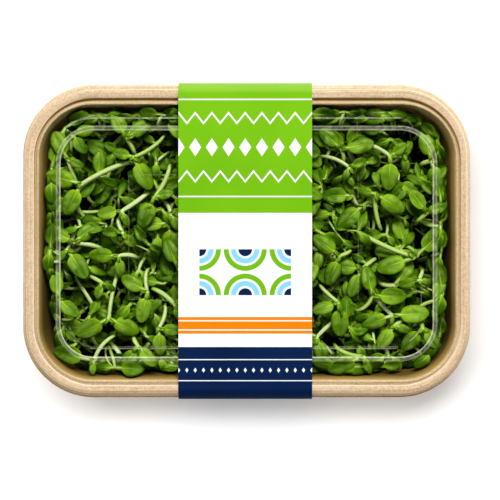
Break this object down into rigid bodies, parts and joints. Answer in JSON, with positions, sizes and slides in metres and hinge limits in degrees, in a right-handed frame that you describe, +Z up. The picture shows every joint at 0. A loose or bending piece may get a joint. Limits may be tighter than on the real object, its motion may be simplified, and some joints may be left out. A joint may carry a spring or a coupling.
{
  "type": "sunflower microgreens tray",
  "caption": "Closed rectangular punnet of cut sunflower shoots: moulded-fibre tray with a stepped rim, clear flat lid and a plain card sleeve round the middle.",
  "frame": {"origin": "on the surface that the closed tray stands on, under the middle of its outline", "axes": "+X along the tray's long side, +Y towards its back long side, +Z up through the lid"},
  "size_m": [0.216, 0.1524, 0.0432],
  "materials": {
    "moulded_fibre": "matt tan moulded plant fibre with a fine speckle, unbleached",
    "clear_sheet": "clear thin thermoformed plastic sheet, glossy, bright along its bead",
    "printed_card": "satin printed card with bright green, white and navy panels, no lettering",
    "shoots": null
  },
  "bodies": {
    "root": {"tray": "moulded_fibre", "lid": "clear_sheet", "sleeve": "printed_card", "bunch_01": "shoots", "bunch_02": "shoots", "bunch_03": "shoots", "bunch_04": "shoots", "bunch_05": "shoots", "bunch_06": "shoots", "bunch_07": "shoots", "bunch_08": "shoots", "bunch_09": "shoots", "bunch_10": "shoots", "bunch_11": "shoots", "bunch_12": "shoots", "bunch_13": "shoots", "bunch_14": "shoots", "bunch_15": "shoots", "bunch_16": "shoots", "bunch_17": "shoots", "bunch_18": "shoots", "bunch_19": "shoots", "bunch_20": "shoots", "bunch_21": "shoots", "bunch_22": "shoots", "bunch_23": "shoots", "bunch_24": "shoots"}
  },
  "joints": []
}
